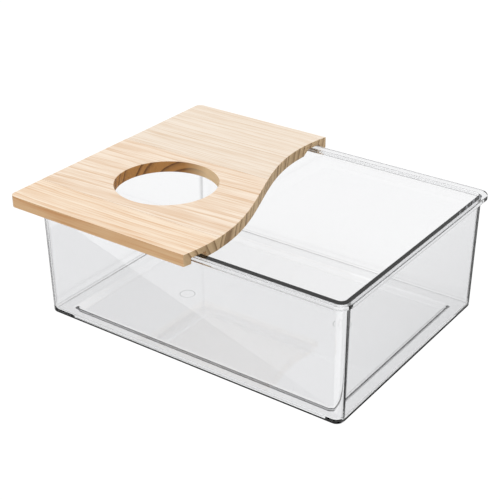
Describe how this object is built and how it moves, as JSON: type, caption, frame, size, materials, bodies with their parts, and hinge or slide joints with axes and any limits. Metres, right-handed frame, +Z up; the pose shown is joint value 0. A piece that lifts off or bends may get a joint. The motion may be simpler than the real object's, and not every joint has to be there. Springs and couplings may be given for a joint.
{
  "type": "hamster bath box",
  "caption": "Open clear plastic tub for a hamster's sand bath, half covered by a loose pine lid with a wave-cut edge and a round way in.",
  "frame": {"origin": "on the ground, in the middle of the footprint of the tub and its lid together", "axes": "+X along the tub's long side, away from the lid; +Y to the back; +Z up, the way the lid lifts off"},
  "size_m": [0.2682, 0.2166, 0.0988],
  "materials": {
    "clear_plastic": "clear, smooth and glossy, water-white",
    "pine_front": "fine-sanded unfinished pine, straight grain along the long side",
    "pine_middle": "fine-sanded unfinished pine, grain running a few degrees askew",
    "pine_back": "fine-sanded unfinished pine, straight, fine and paler grain"
  },
  "bodies": {
    "tub": {"tub": "clear_plastic"},
    "lid": {"lid_front_stave": "pine_front", "lid_middle_stave": "pine_middle", "lid_back_stave": "pine_back"}
  },
  "joints": [
    {"name": "lid_lift", "type": "slide", "parent": "tub", "child": "lid", "axis": [0, 0, 1], "range_m": [0, 0.12]}
  ]
}
